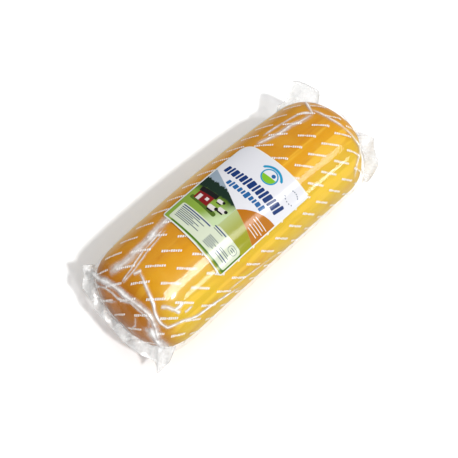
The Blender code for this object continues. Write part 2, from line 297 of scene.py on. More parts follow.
def fullness(theta, powers):
    """Superellipse power of an end's curve at an angle."""
    side, lean, crown = powers
    beside = side + lean * np.cos(theta)
    return beside + (crown - beside) * np.sin(theta) ** 4


def loaf_point(t, theta):
    """A point of the rind.  t: 0..1 near end from its tip, 1..2 barrel, 2..3 far end."""
    ring_x, ring_z = cross_section(theta)
    tuck = RIGHT_TUCK * np.clip(np.cos(theta), 0.0, 1.0) ** 2 * np.clip(-np.sin(theta) * 3.0, 0.0, 1.0)
    ring_x = ring_x * (1.0 - 2 * (LOAF_INSET + tuck) / LOAF_WIDTH)
    middle = LOAF_HEIGHT / 2
    ring_z = middle + (ring_z - middle) * (1.0 - 2 * LOAF_INSET / LOAF_HEIGHT)
    near = t < 1.5
    turn = np.clip(np.where(near, 1.0 - t, t - 2.0), 0.0, 1.0) * np.pi / 2
    power = 2.0 / np.where(
        near, fullness(theta, LOAF_NEAR_FULLNESS), fullness(theta, LOAF_FAR_FULLNESS))
    keep = np.maximum(np.cos(turn), 0.0) ** power
    forward = np.sin(turn) ** power
    shoulder = np.where(near, NEAR_SHOULDER, FAR_SHOULDER)
    tip = np.where(near, LOAF_NEAR_TIP, LOAF_FAR_TIP)
    barrel_y = NEAR_SHOULDER + (FAR_SHOULDER - NEAR_SHOULDER) * np.clip(t - 1.0, 0.0, 1.0)
    y = np.where(turn > 0, shoulder + (tip - shoulder) * forward, barrel_y)
    x, z = drawn_in(ring_x * keep, LOAF_TIP_HEIGHT + (ring_z - LOAF_TIP_HEIGHT) * keep, y)
    return np.stack([x, y, z], axis=-1)


deselect()
bpy.ops.mesh.primitive_uv_sphere_add(segments=LOAF_COLUMNS, ring_count=LOAF_RINGS, radius=1.0)
loaf = bpy.context.active_object
loaf.name = "cheese_loaf"
sphere = np.zeros(len(loaf.data.vertices) * 3)
loaf.data.vertices.foreach_get("co", sphere)
sphere = sphere.reshape(-1, 3)
polar = np.arccos(np.clip(sphere[:, 2], -1.0, 1.0)) / np.pi
angle = np.arctan2(sphere[:, 1], sphere[:, 0])
rind = loaf_point(3.0 * polar, angle)
stretched = rind * np.array([1.0, 0.45, 1.0])
dents = lattice_noise(stretched, 0.020, 3) + 0.5 * lattice_noise(stretched, 0.009, 4)
core = np.zeros_like(rind)
core[:, 1] = np.clip(rind[:, 1], -0.09, 0.10)
core[:, 2] = 0.047
outward = rind - core
outward /= np.linalg.norm(outward, axis=-1, keepdims=True)
rind -= outward * (DENT_DEPTH * np.clip(dents, 0.0, 1.0))[:, None]
LOAF_PLACE = np.array([LOAF_X, LOAF_Y, 0.0])
rind += LOAF_PLACE
rind[:, 2] = np.maximum(rind[:, 2], LOAF_INSET)
loaf.data.vertices.foreach_set("co", rind.ravel())
bpy.context.view_layer.update()
activate(loaf)
bpy.ops.object.mode_set(mode="EDIT")
bpy.ops.mesh.select_all(action="SELECT")
bpy.ops.mesh.normals_make_consistent(inside=False)
bpy.ops.object.mode_set(mode="OBJECT")
bpy.ops.object.shade_smooth()

# Painted light: the rind grows lighter and yellower towards the lamps on the right.
RIND_LEFT = (0.530, 0.228, 0.009, 1.0)      # across the loaf, from left to right
RIND_MIDDLE = (0.590, 0.268, 0.004, 1.0)
RIND_RIGHT_PAINTED_LIGHT = (0.560, 0.360, 0.010, 1.0)
# Painted sheen for the left flank, as of the film's glancing reflection.
RIND_FLANK_PAINTED_SHEEN = (0.860, 0.560, 0.090, 1.0)
# Painted shade for the near end, which is turned away from the lamps.
RIND_PAINTED_END_SHADE = (0.400, 0.132, 0.006, 1.0)
RIND_DARK = (0.430, 0.130, 0.005, 1.0)
RIND_PALE = (0.640, 0.340, 0.030, 1.0)
# Painted highlight: pale gold streaks standing for faint lamp reflections in the film.
RIND_PAINTED_GLINT = (0.800, 0.520, 0.050, 1.0)


def drawn_out(tree, place, *scale):
    """A place scaled along each axis, which draws a pattern out where the scale is small."""
    return add_node(tree, "ShaderNodeMapping", Vector=place, Scale=scale).outputs[0]


def noise(tree, place, scale, detail, roughness=0.5):
    """Soft noise from 0 to 1."""
    return add_node(
        tree, "ShaderNodeTexNoise", Vector=place, Scale=scale, Detail=detail,
        Roughness=roughness).outputs[0]


material, tree, output = new_material("smoked_rind")
place = add_node(tree, "ShaderNodeTexCoord").outputs["Object"]
axes = add_node(tree, "ShaderNodeSeparateXYZ", i0=place)
across, along = axes.outputs[0], axes.outputs[1]
streaks = noise(tree, drawn_out(tree, place, 1.0, 0.22, 1.0), 85.0, 4.0, 0.6)
blotches = noise(tree, place, 30.0, 3.0)
painted_glint_streaks = noise(tree, drawn_out(tree, place, 1.0, 0.05, 0.4), 130.0, 2.0)
uneven = calc(tree, "MULTIPLY_ADD", blotches, 0.016, across)
uneven = calc(tree, "MULTIPLY_ADD", streaks, 0.010, uneven)
from_left = ramp(tree, uneven, LOAF_X + 0.016, LOAF_X + 0.023)
colour = blend(tree, from_left, RIND_LEFT, RIND_MIDDLE)
# Painted light: lighter and yellower towards the lamps on the right.
to_right = ramp(tree, uneven, LOAF_X + 0.026, LOAF_X + 0.056, smooth=True)
colour = blend(tree, to_right, colour, RIND_RIGHT_PAINTED_LIGHT)
colour = blend(tree, ramp(tree, streaks, 0.52, 0.72, 0.0, 0.45), colour, RIND_DARK)
colour = blend(tree, ramp(tree, blotches, 0.54, 0.74, 0.0, 0.40), colour, RIND_PALE)
# Painted sheen: the left flank is paled as by the film's glancing reflection and light from the table.
painted_flank_sheen = ramp(tree, across, LOAF_X - 0.031, LOAF_X - 0.051, 0.0, 0.82, smooth=True)
colour = blend(tree, painted_flank_sheen, colour, RIND_FLANK_PAINTED_SHEEN)
# Painted highlights: pale gold streaks on the right stand for faint reflections of lamps in the film.
painted_glint_share = ramp(tree, painted_glint_streaks, 0.54, 0.60, 0.0, 0.38)
right_only = ramp(tree, across, LOAF_X - 0.004, LOAF_X + 0.010)
colour = blend(tree, calc(tree, "MULTIPLY", painted_glint_share, right_only), colour, RIND_PAINTED_GLINT)
# Painted shade: the near end, turned away from the lamps, is made darker and browner.
near_end = ramp(tree, along, LOAF_Y - 0.104, LOAF_Y - 0.127, 0.0, 0.95, smooth=True)
colour = blend(tree, near_end, colour, RIND_PAINTED_END_SHADE)
grain = add_node(
    tree, "ShaderNodeBump", Strength=0.25, Distance=0.0006, Height=noise(tree, place, 420.0, 3.0, 0.6))
shader = add_node(
    tree, "ShaderNodeBsdfPrincipled", Base_Color=colour, Roughness=0.42, Normal=grain.outputs[0],
    Specular_IOR_Level=0.12, Subsurface_Weight=0.12, Subsurface_Radius=(1.0, 0.45, 0.12),
    Subsurface_Scale=0.004)
tree.links.new(shader.outputs[0], output.inputs[0])
loaf.data.materials.append(material)
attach(loaf, "root")
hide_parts("film_pack")


# ---- Film --------------------------------------------------------------------
# A tube of clear plastic, shrunk tight on the loaf and pressed flat and welded
# across both ends.  It rises in creases where it is gathered, its free edges are
# doubled and milky, and short slanting bars are printed on it in white.

NEAR_SEAL_HEIGHT = 0.0475
FAR_SEAL_HEIGHT = 0.0455
SEAL_THICKNESS = 0.0006
NEAR_SEAL_Y = -0.1376       # seal line at the middle of the near end
NEAR_SEAL_BOW = 0.0200      # how far the ears lie back from it
NEAR_BOW_POWER = 2.5
NEAR_EAR_LEFT = 0.0520
NEAR_EAR_RIGHT = 0.0505
FAR_SEAL_Y = 0.1488
FAR_SEAL_BOW = 0.0330
FAR_BOW_POWER = 2.7
FAR_EAR_LEFT = 0.0560
FAR_EAR_RIGHT = 0.0560
NEAR_FULLNESS = (3.10, -0.35, 2.08)
FAR_FULLNESS = (2.35, -0.35, 2.32)

# Free edges of the seals, from the left ear (-1) to the right ear (+1): place along
# the seal line, then x, y and z.  The far one has a square tab on its left.
NEAR_EDGE = (
    (-1.00, -0.0587, -0.1264, 0.0500), (-0.93, -0.0518, -0.1306, 0.0485),
    (-0.86, -0.0475, -0.1360, 0.0470), (-0.80, -0.0443, -0.1388, 0.0460),
    (-0.70, -0.0356, -0.1393, 0.0460), (-0.60, -0.0292, -0.1406, 0.0460),
    (-0.50, -0.0223, -0.1437, 0.0455), (-0.40, -0.0155, -0.1438, 0.0455),
    (-0.20, -0.0062, -0.1440, 0.0455), (0.00, 0.0034, -0.1444, 0.0455),
    (0.20, 0.0141, -0.1450, 0.0450), (0.40, 0.0232, -0.1441, 0.0445),
    (0.50, 0.0290, -0.1428, 0.0440), (0.60, 0.0356, -0.1413, 0.0420),
    (0.70, 0.0405, -0.1383, 0.0400), (0.76, 0.0450, -0.1365, 0.0380),
    (0.80, 0.0499, -0.1386, 0.0350), (0.825, 0.0518, -0.1417, 0.0330),
    (0.85, 0.0529, -0.1388, 0.0330), (0.90, 0.0524, -0.1332, 0.0340),
    (0.95, 0.0546, -0.1284, 0.0390), (1.00, 0.0530, -0.1225, 0.0450))
FAR_EDGE = (
    (-1.00, -0.0629, 0.1242, 0.0470), (-0.97, -0.0613, 0.1313, 0.0470),
    (-0.95, -0.0596, 0.1386, 0.0500), (-0.93, -0.0684, 0.1495, 0.0520),
    (-0.90, -0.0707, 0.1557, 0.0520), (-0.80, -0.0657, 0.1607, 0.0520),
    (-0.72, -0.0585, 0.1633, 0.0520), (-0.65, -0.0511, 0.1641, 0.0520),
    (-0.60, -0.0431, 0.1657, 0.0520), (-0.58, -0.0388, 0.1602, 0.0510),
    (-0.55, -0.0330, 0.1510, 0.0480), (-0.40, -0.0240, 0.1525, 0.0470),
    (-0.20, -0.0120, 0.1545, 0.0470), (0.00, 0.0000, 0.1548, 0.0470),
    (0.20, 0.0105, 0.1535, 0.0470), (0.26, 0.0132, 0.1545, 0.0470),
    (0.30, 0.0164, 0.1579, 0.0470), (0.37, 0.0222, 0.1585, 0.0470),
    (0.52, 0.0314, 0.1609, 0.0470), (0.60, 0.0367, 0.1544, 0.0470),
    (0.70, 0.0448, 0.1475, 0.0470), (0.78, 0.0502, 0.1446, 0.0470),
    (0.85, 0.0542, 0.1388, 0.0470), (0.90, 0.0562, 0.1321, 0.0460),
    (0.95, 0.0578, 0.1250, 0.0460), (1.00, 0.0582, 0.1190, 0.0460))
EDGE_SOFTNESS = 0.012       # rounds the edges' corners


def seal(s, near):
    """The seal line and its free edge.  s runs from -1, left ear, to +1, right ear."""
    if near:
        half = np.where(s < 0, NEAR_EAR_LEFT, NEAR_EAR_RIGHT)
        y = NEAR_SEAL_Y + NEAR_SEAL_BOW * np.abs(s) ** NEAR_BOW_POWER
        z = NEAR_SEAL_HEIGHT + 0.0022 * np.sin(6.0 * s + 0.4) + 0.0010 * np.sin(15.0 * s)
        knots = np.array(NEAR_EDGE)
    else:
        half = np.where(s < 0, FAR_EAR_LEFT, FAR_EAR_RIGHT)
        y = FAR_SEAL_Y - FAR_SEAL_BOW * np.abs(s) ** FAR_BOW_POWER
        z = FAR_SEAL_HEIGHT + 0.0018 * np.sin(5.0 * s + 1.2) + 0.0010 * np.sin(13.0 * s)
        knots = np.array(FAR_EDGE)
    line = np.stack([half * s, y, z], axis=-1)
    edge = np.zeros_like(line)
    for step in (-EDGE_SOFTNESS, 0.0, EDGE_SOFTNESS):
        for axis in range(3):
            edge[..., axis] += np.interp(s + step, knots[:, 0], knots[:, 1 + axis]) / 3
    return line, edge


def film_point(t, theta):
    """A point of the film as it was shrunk on, without creases.

    t: 0..1 near seal from its free edge, 1..2 near end, 2..3 barrel, 3..4 far end,
    4..5 far seal.  theta: 0 at the right side, a quarter turn at the crown.
    """
    t, theta = np.broadcast_arrays(np.asarray(t, float), np.asarray(theta, float))
    near = t < 2.5
    pick = near[..., None]
    s = np.cos(theta)
    ring_x, ring_z = cross_section(theta)
    near_line, near_edge = seal(s, True)
    far_line, far_edge = seal(s, False)
    line = np.where(pick, near_line, far_line)
    edge = np.where(pick, near_edge, far_edge)
    shoulder = np.where(near, NEAR_SHOULDER, FAR_SHOULDER)

    # Barrel and ends: every line of the film runs along the barrel and curves from
    # the shoulder down to the seal.
    closed = np.where(near, 2.0 - t, t - 3.0)
    turn = np.clip(closed, 0.0, 1.0) * np.pi / 2
    power = np.where(near, fullness(theta, NEAR_FULLNESS), fullness(theta, FAR_FULLNESS))
    forward = np.sin(turn) ** (2.0 / power)
    inward = 1.0 - np.cos(turn) ** (2.0 / power)
    barrel_y = NEAR_SHOULDER + (FAR_SHOULDER - NEAR_SHOULDER) * np.clip(t - 2.0, 0.0, 1.0)
    y = np.where(closed > 0.0, shoulder + (line[..., 1] - shoulder) * forward, barrel_y)
    x, z = drawn_in(ring_x, ring_z, y)
    x = x + (line[..., 0] - x) * inward
    z = z + (line[..., 2] - z) * inward
    point = np.stack([x, y, z], axis=-1)

    # Seals: upper and lower face part by the film's thickness, and less outwards.
    out = np.clip(closed - 1.0, 0.0, 1.0)
    flap = line + (edge - line) * out[..., None]
    flap[..., 2] += 0.0016 * np.sin(np.pi * out) * np.sin(17.0 * s + np.where(near, 0.0, 1.5))
    point = np.where((closed > 1.0)[..., None], flap, point)
    half_film = SEAL_THICKNESS / 2 * (1.0 - out) * np.sin(turn) ** 8
    point[..., 2] += half_film * np.sign(np.round(np.sin(theta), 9))
    return point


def film_normal(t, theta):
    """Outward direction of the smooth film."""
    step = 1e-4
    along = film_point(t + step, theta) - film_point(t - step, theta)
    around = film_point(t, theta + step) - film_point(t, theta - step)
    normal = np.cross(along, around)
    length = np.linalg.norm(normal, axis=-1, keepdims=True)
    return normal / np.maximum(length, 1e-12)


# Creases: name, course over the film as (t, theta) pairs, height and half width of the
# crest, how milky the crest is, and the half width and milkiness of the band round it.
# The crest's whiteness is partly painted highlight along the ridge.
CREASES = (
    ("near_rim", ((0.10, 2.96), (0.60, 2.72), (1.03, 2.58), (1.25, 2.443), (1.370, 2.187),
                  (1.455, 1.984), (1.490, 1.827), (1.505, 1.699), (1.500, 1.588),
                  (1.515, 1.466), (1.550, 1.274), (1.555, 1.100), (1.525, 0.972),
                  (1.440, 0.844), (1.300, 0.733), (1.05, 0.62)),
     0.0015, 0.0008, 0.80, 0.0036, 0.46),
    ("right_ear_fan", ((0.95, 0.50), (1.10, 0.62), (1.25, 0.78), (1.42, 0.95)),
     0.0012, 0.0014, 0.60, 0.0062, 0.50),
    ("left_ear_fan", ((0.95, 2.80), (1.08, 2.66), (1.22, 2.50), (1.34, 2.30)),
     0.0008, 0.0010, 0.50, 0.0040, 0.35),
    ("face_wrinkle_a", ((1.33, 2.20), (1.22, 1.98), (1.15, 1.72), (1.06, 1.60)),
     0.0005, 0.0005, 0.40, 0.0012, 0.10),
    ("face_wrinkle_b", ((1.38, 1.62), (1.27, 1.75), (1.15, 1.95), (1.04, 2.10)),
     0.0005, 0.0005, 0.40, 0.0012, 0.10),
    ("face_wrinkle_c", ((1.40, 1.25), (1.28, 1.17), (1.16, 1.22), (1.04, 1.15)),
     0.0005, 0.0005, 0.45, 0.0014, 0.12),
    ("rim_fold", ((1.05, 2.48), (1.245, 2.153), (1.385, 1.931), (1.415, 1.769), (1.410, 1.646),
                  (1.440, 1.548), (1.490, 1.437), (1.500, 1.268), (1.510, 1.123), (1.490, 1.018),
                  (1.30, 0.90)),
     0.0007, 0.0006, 0.55, 0.0018, 0.22),
    ("near_crown_left", ((2.125, 1.827), (2.050, 1.798), (1.925, 1.757), (1.760, 1.716),
                         (1.590, 1.716)),
     0.0007, 0.0005, 0.92, 0.0014, 0.10),
    ("near_crown_right", ((2.129, 1.786), (2.058, 1.745), (1.940, 1.699), (1.770, 1.670),
                          (1.590, 1.693)),
     0.0007, 0.0005, 0.80, 0.0014, 0.10),
    ("near_band", ((2.20, 1.93), (2.146, 1.926), (2.025, 1.856), (1.795, 1.868), (1.585, 2.030)),
     0.0004, 0.0012, 0.30, 0.0046, 0.48),
    ("near_loop", ((1.815, 1.623), (1.775, 1.495), (1.745, 1.385), (1.715, 1.245), (1.685, 1.129),
                   (1.630, 1.030), (1.585, 0.913), (1.560, 0.803), (1.565, 0.669), (1.695, 0.588),
                   (1.815, 0.524), (2.017, 0.349), (2.083, 0.303), (2.175, 0.204), (2.258, 0.064)),
     0.0006, 0.0008, 0.90, 0.0020, 0.12),
    # Painted highlights: the next four are white patches, three with no rise at all, where the lamps
    # glint on small wrinkles of the near end.
    ("near_glint", ((1.745, 1.641), (1.790, 1.617), (1.830, 1.588)),
     0.0003, 0.0008, 0.90, 0.0018, 0.30),
    ("near_star_left", ((1.725, 1.02), (1.790, 0.93), (1.835, 0.78), (1.86, 0.68)),
     0.0, 0.0010, 0.75, 0.0018, 0.22),
    ("near_star_mid", ((1.790, 0.86), (1.83, 0.80), (1.90, 0.78), (1.96, 0.80)),
     0.0, 0.0009, 0.75, 0.0018, 0.18),
    ("near_star_right", ((1.900, 0.64), (1.935, 0.623), (1.995, 0.623)),
     0.0, 0.0007, 0.75, 0.0014, 0.10),
    ("far_crown", ((3.050, 1.716), (2.950, 1.751), (2.900, 1.809), (2.837, 1.809),
                   (2.775, 1.862), (2.712, 1.926)),
     0.0008, 0.0006, 0.85, 0.0030, 0.34),
    ("far_band", ((3.060, 1.769), (2.979, 1.908), (2.908, 1.943), (2.850, 1.972), (2.771, 1.990)),
     0.0005, 0.0007, 0.60, 0.0020, 0.20),
    ("far_arm", ((3.240, 2.118), (3.120, 1.891), (3.050, 1.716)),
     0.0008, 0.0009, 0.90, 0.0020, 0.20),
    ("far_rim", ((3.100, 1.827), (3.130, 1.670), (3.155, 1.518), (3.195, 1.344), (3.215, 1.222),
                 (3.255, 1.111), (3.285, 0.989), (3.375, 0.838), (3.375, 0.733), (3.135, 0.495),
                 (2.996, 0.250)),
     0.0009, 0.0008, 0.85, 0.0026, 0.20),
    ("side_line", ((2.167, 0.303), (2.263, 0.256), (2.417, 0.140), (2.562, 0.000), (2.721, -0.047),
                   (2.904, -0.058)),
     0.0005, 0.0005, 0.60, 0.0015, 0.08),
)
FILM_COLUMNS = 560          # points round the film
SEAL_ROWS = 28
END_ROWS = 120
MIDDLE_ROWS = 170
END_REACH = 0.10            # how far an end piece reaches onto the barrel, in t

film_rows = np.concatenate([
    np.linspace(0.0, 1.0, SEAL_ROWS, endpoint=False),
    np.linspace(1.0, 2.0, END_ROWS, endpoint=False),
    np.linspace(2.0, 3.0, MIDDLE_ROWS, endpoint=False),
    np.linspace(3.0, 4.0, END_ROWS, endpoint=False),
    np.linspace(4.0, 5.0, SEAL_ROWS + 1)])
film_angles = np.linspace(-np.pi / 2, 1.5 * np.pi, FILM_COLUMNS + 1)
row_grid, angle_grid = np.meshgrid(film_rows, film_angles, indexing="ij")
smooth_film = film_point(row_grid, angle_grid)
outward = film_normal(np.clip(row_grid, 2e-4, 5.0 - 2e-4), angle_grid)

# Places on the flat film, in metres: from the crown towards +X, and along it.
section = np.stack(cross_section(film_angles), axis=-1)
round_run = np.append(0.0, np.cumsum(np.linalg.norm(np.diff(section, axis=0), axis=-1)))
crown_run = np.interp(np.pi / 2, film_angles, round_run)
flat_u = np.broadcast_to(crown_run - round_run, row_grid.shape)
steps = np.linalg.norm(np.diff(smooth_film, axis=0), axis=-1)
flat_v = np.concatenate([np.zeros((1, FILM_COLUMNS + 1)), np.cumsum(steps, axis=0)])
middle_row = int(np.argmin(np.abs(film_rows - 2.5)))
flat_v = flat_v - flat_v[middle_row] + (NEAR_SHOULDER + FAR_SHOULDER) / 2
flat_film = np.stack([flat_u, flat_v], axis=-1)


def course_distance(course, places):
    """Distance from each place to a smooth course over the film."""
    knots = np.linspace(0.0, 1.0, len(course))
    share = np.linspace(0.0, 1.0, 16 * len(course))
    t = np.interp(share, knots, [pair[0] for pair in course])
    theta = np.interp(share, knots, [pair[1] for pair in course])
    width = 9
    kernel = np.hanning(width + 2)[1:-1]
    kernel /= kernel.sum()
    edge = width // 2
    t[edge:-edge] = np.convolve(t, kernel, "valid")
    theta[edge:-edge] = np.convolve(theta, kernel, "valid")
    line = film_point(t, theta)
    best = np.full(len(places), 1.0)
    where = np.zeros(len(places))
    for i in range(len(line) - 1):
        start, run = line[i], line[i + 1] - line[i]
        close = np.abs(places - start).max(axis=1) < 0.03
        if not close.any():
            continue
        offset = places[close] - start
        share_here = np.clip(offset @ run / max(run @ run, 1e-12), 0.0, 1.0)
        gap = np.linalg.norm(offset - share_here[:, None] * run, axis=1)
        nearer = gap < best[close]
        spots = np.flatnonzero(close)[nearer]
        best[spots] = gap[nearer]
        where[spots] = (i + share_here[nearer]) / (len(line) - 1)
    return best, where


flat_places = smooth_film.reshape(-1, 3)
lift = np.zeros(len(flat_places))
milk_and_glint = np.zeros(len(flat_places))
for name, course, height, width, crest_milk_and_glint, band_width, band_milk in CREASES:
    gap, where = course_distance(course, flat_places)
    fade = np.clip(np.minimum(where, 1.0 - where) / 0.12, 0.0, 1.0) ** 0.7
    uneven = 1.0 + 0.45 * lattice_noise(flat_places, 0.011, len(name) * 7)
    crest = np.exp(-np.abs(gap / width) ** 1.3)
    lift = np.maximum(lift, height * crest * fade * uneven)
    band = np.exp(-(gap / band_width) ** 4)
    milk_and_glint = np.maximum(milk_and_glint, fade * np.clip(uneven, 0.2, 1.4) * (crest_milk_and_glint * crest + band_milk * band))
lift = lift.reshape(row_grid.shape)
milk_and_glint = milk_and_glint.reshape(row_grid.shape)

# Crumples: sharp-crested, strong where the film is gathered at the seals.
COARSE_CRUMPLE = 0.0011
FINE_CRUMPLE = 0.0005
BARREL_CRUMPLE = 0.00006
closed = np.where(row_grid < 2.5, 2.0 - row_grid, row_grid - 3.0)
gathered = np.clip(closed, 0.0, 1.0) ** 2.2
on_flap = np.clip(closed - 1.0, 0.0, 1.0)


def crests(places, size, seed):
    """Sharp-crested crumples, 0 in the hollows and 1 on the crests."""
    return (1.0 - np.abs(lattice_noise(places, size, seed)) * 2.2).clip(0.0, 1.0) ** 2


drawn = smooth_film * np.array([1.0, 0.40, 1.0])
coarse = crests(drawn, 0.016, 21)
fine = crests(drawn, 0.006, 22)
lift += gathered * (COARSE_CRUMPLE * coarse + FINE_CRUMPLE * fine)
lift += BARREL_CRUMPLE * crests(smooth_film * np.array([1.0, 0.25, 1.0]), 0.020, 23)
milk_and_glint += gathered ** 3 * (0.06 * coarse ** 3 + 0.10 * fine ** 3)

# Pleats: they fan out from the seals towards the loaf.
PLEAT_HEIGHT = 0.0010
side_run = np.cos(angle_grid)
pleat = np.zeros_like(row_grid)
for waves, phase, share in ((23.0, 0.3, 0.5), (37.0, 1.9, 0.3), (61.0, 0.8, 0.2)):
    pleat += share * (1.0 - np.abs(np.sin(waves * side_run + phase)))
pleat_zone = np.clip((closed - 0.62) / 0.38, 0.0, 1.0) ** 1.6 * (1.0 - 0.4 * on_flap)
lift += pleat_zone * PLEAT_HEIGHT * pleat ** 2
milk_and_glint += pleat_zone ** 2 * 0.16 * pleat ** 3

# The welded free edges are milky and wavy.
WELD_MILK = 0.46
MOST_MILK = 0.93
FLUTTER = 0.0018            # how far the free edges wave up and down
milk_and_glint += np.clip((closed - 0.97) / 0.05, 0.0, 1.0) * WELD_MILK
milk_and_glint = np.clip(milk_and_glint, 0.0, MOST_MILK)
both_faces = np.clip(1.0 - 1.2 * on_flap, 0.0, 1.0)
lift *= np.where(closed > 1.0, both_faces, 1.0)
film = smooth_film + outward * lift[..., None]
flutter = np.clip(closed - 0.97, 0.0, 1.0)
film[..., 2] += flutter * FLUTTER * lattice_noise(smooth_film * np.array([1.0, 0.6, 0.0]), 0.012, 31)
film[..., 2] = np.maximum(film[..., 2], 0.0002)
film[:, -1] = film[:, 0]
film += LOAF_PLACE


def lay_sheet(name, places, flat_name, flat, mark_name, marks):
    """A mesh grid laid through rows and columns of places.

    Each point's place on the flat sheet becomes a UV map, and its mark an attribute.
    """
    rows, columns = places.shape[:2]
    deselect()
    bpy.ops.mesh.primitive_grid_add(
        x_subdivisions=columns - 1, y_subdivisions=rows - 1, size=2.0)
    piece = bpy.context.active_object
    piece.name = name
    mesh = piece.data
    grid = np.zeros(len(mesh.vertices) * 3)
    mesh.vertices.foreach_get("co", grid)
    grid = grid.reshape(-1, 3)
    column = np.rint((grid[:, 0] + 1.0) / 2.0 * (columns - 1)).astype(int)
    row = np.rint((grid[:, 1] + 1.0) / 2.0 * (rows - 1)).astype(int)
    mesh.vertices.foreach_set("co", places[row, column].ravel())
    corner_vertex = np.zeros(len(mesh.loops), int)
    mesh.loops.foreach_get("vertex_index", corner_vertex)
    spread = mesh.uv_layers[0]
    spread.name = flat_name
    spread.data.foreach_set("uv", flat[row, column][corner_vertex].ravel())
    mark = mesh.attributes.new(mark_name, "FLOAT", "POINT")
    mark.data.foreach_set("value", marks[row, column])
    return piece


near_break = int(np.argmin(np.abs(film_rows - (2.0 + END_REACH))))
far_break = int(np.argmin(np.abs(film_rows - (3.0 - END_REACH))))
film_pieces = []
for name, first, last in (
        ("film_near_end", 0, near_break), ("film_barrel", near_break, far_break),
        ("film_far_end", far_break, len(film_rows) - 1)):
    stretch = slice(first, last + 1)
    piece = lay_sheet(name, film[stretch], "flat_film", flat_film[stretch], "milk_and_glint", milk_and_glint[stretch])
    activate(piece)
    bpy.ops.object.mode_set(mode="EDIT")
    bpy.ops.mesh.select_all(action="SELECT")
    bpy.ops.mesh.remove_doubles(threshold=1e-6)
    bpy.ops.mesh.flip_normals()
    bpy.ops.object.mode_set(mode="OBJECT")
    bpy.ops.object.shade_smooth()
    film_pieces.append(piece)

# Print: slanting bars of small blocks in a loose lattice on the flat film.
PRINT_FIRST_U = 0.0042
PRINT_COLUMN_PITCH = 0.0193
PRINT_FIRST_V = -0.0749
PRINT_ROW_PITCH = (0.0180, 0.0173)      # left and right of where it changes
PRINT_PITCH_CHANGE = (0.008, 0.018)
PRINT_SKEW = -0.00115       # how far each column lies behind the one on its left
BAR_LENGTH = 0.0172
BAR_HEIGHT = 0.0021
BAR_TURN = math.radians(46.0)
BAR_LEAN = -0.25            # how the blocks lean in a bar
BLOCK_PITCH = 0.0019
BLOCK_SHARE = 0.68          # of the pitch, the rest is clear
PRINT_OPACITY = 0.82
GLOSS_MOST = 0.20           # the film's mirroring, seen edge on

material, tree, output = new_material("printed_film")


def off_lattice(tree, run, pitch):
    """Number of the nearest lattice line, and the distance from it."""
    count = calc(tree, "DIVIDE", run, pitch)
    nearest = calc(tree, "ROUND", count)
    return nearest, calc(tree, "MULTIPLY", calc(tree, "SUBTRACT", count, nearest), pitch)


uv = add_node(tree, "ShaderNodeUVMap", {"uv_map": "flat_film"}).outputs[0]
uv_axes = add_node(tree, "ShaderNodeSeparateXYZ", i0=uv)
column, off_u = off_lattice(
    tree, calc(tree, "SUBTRACT", uv_axes.outputs[0], PRINT_FIRST_U), PRINT_COLUMN_PITCH)
shifted = calc(tree, "SUBTRACT", uv_axes.outputs[1], PRINT_FIRST_V)
shifted = calc(tree, "MULTIPLY_ADD", column, -PRINT_SKEW, shifted)
row_pitch = ramp(tree, uv_axes.outputs[0], *PRINT_PITCH_CHANGE, *PRINT_ROW_PITCH)
off_v = off_lattice(tree, shifted, row_pitch)[1]
cosine, sine = math.cos(BAR_TURN), math.sin(BAR_TURN)
bar_a = calc(tree, "MULTIPLY_ADD", off_v, sine, calc(tree, "MULTIPLY", off_u, cosine))
bar_b = calc(tree, "MULTIPLY_ADD", off_v, cosine, calc(tree, "MULTIPLY", off_u, -sine))
slanted = calc(tree, "MULTIPLY_ADD", bar_b, BAR_LEAN, bar_a)
in_length = calc(tree, "LESS_THAN", calc(tree, "ABSOLUTE", slanted), BAR_LENGTH / 2)
block = calc(tree, "DIVIDE", calc(tree, "ADD", slanted, 1.0), BLOCK_PITCH)
in_block = calc(tree, "LESS_THAN", calc(tree, "FRACT", block), BLOCK_SHARE)
block_draw = add_node(
    tree, "ShaderNodeTexWhiteNoise", {"noise_dimensions": "1D"}, W=calc(tree, "FLOOR", block)).outputs[0]
block_height = calc(tree, "MULTIPLY_ADD", block_draw, BAR_HEIGHT * 0.25, BAR_HEIGHT * 0.26)
in_height = calc(tree, "LESS_THAN", calc(tree, "ABSOLUTE", bar_b), block_height)
printed = calc(tree, "MULTIPLY", calc(tree, "MULTIPLY", in_length, in_block), in_height)

# The film's milkiness also carries painted highlights on crease ridges and glint patches.
film_milk_and_glint = add_node(tree, "ShaderNodeAttribute", {"attribute_name": "milk_and_glint"}).outputs["Fac"]
place = add_node(tree, "ShaderNodeTexCoord").outputs["Object"]
wisps = ramp(tree, noise(tree, place, 160.0, 3.0, 0.6), 0.35, 0.65, 0.6, 1.15)
opacity = calc(tree, "MULTIPLY", film_milk_and_glint, wisps)
opacity = calc(tree, "MAXIMUM", opacity, calc(tree, "MULTIPLY", printed, PRINT_OPACITY), clamp=True)
white = add_node(
    tree, "ShaderNodeBsdfPrincipled", Base_Color=(0.82, 0.82, 0.81, 1.0), Roughness=0.35)
clear = add_node(
    tree, "ShaderNodeBsdfTransparent", Color=ramp(tree, film_milk_and_glint, 0.10, 0.60, 1.0, 0.87))
gloss = add_node(tree, "ShaderNodeBsdfAnisotropic", Color=(1.0, 1.0, 1.0, 1.0), Roughness=0.11)
edge_on = add_node(tree, "ShaderNodeFresnel", IOR=1.46)
ripples = add_node(
    tree, "ShaderNodeBump", Strength=0.06, Distance=0.0005, Height=noise(tree, place, 75.0, 2.0))
for node in (white, gloss, edge_on):
    tree.links.new(ripples.outputs[0], node.inputs["Normal"])
inner_face = add_node(tree, "ShaderNodeNewGeometry").outputs["Backfacing"]
shine = calc(tree, "MINIMUM", edge_on.outputs[0], GLOSS_MOST)
shine = calc(tree, "MULTIPLY", shine, calc(tree, "SUBTRACT", 1.0, inner_face))
skin = add_node(
    tree, "ShaderNodeMixShader", i0=shine, i1=clear.outputs[0], i2=gloss.outputs[0])
